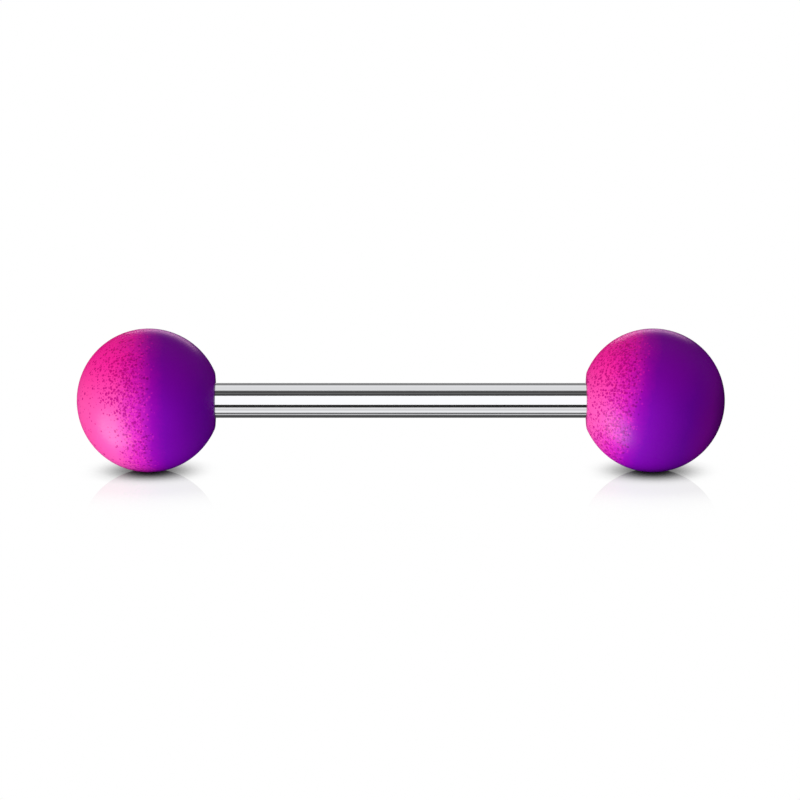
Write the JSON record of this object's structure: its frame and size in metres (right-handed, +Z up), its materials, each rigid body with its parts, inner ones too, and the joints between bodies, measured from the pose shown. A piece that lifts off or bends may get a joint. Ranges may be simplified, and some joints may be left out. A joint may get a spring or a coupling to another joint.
{
  "type": "straight piercing barbell",
  "caption": "Straight piercing barbell: a thin polished bar with a matte two-tone ball screwed on each threaded end.",
  "frame": {"origin": "midway between the balls, on the surface that they rest on", "axes": "+X along the bar towards the right-hand ball, +Z up, and +Y away from the side that the picture shows"},
  "size_m": [0.028, 0.0062, 0.0062],
  "materials": {
    "bar_steel": "mirror-polished stainless steel",
    "ball_colour": "matte airbrushed colour on moulded acrylic, hot pink fading through speckles to deep purple"
  },
  "bodies": {
    "bar": {"bar": "bar_steel"},
    "ball_left": {"ball_left": "ball_colour"},
    "ball_right": {"ball_right": "ball_colour"}
  },
  "joints": [
    {"name": "ball_left_off", "type": "slide", "parent": "bar", "child": "ball_left", "axis": [-1, 0, 0], "range_m": [0, 0.005]},
    {"name": "ball_right_off", "type": "slide", "parent": "bar", "child": "ball_right", "axis": [1, 0, 0], "range_m": [0, 0.005]}
  ]
}
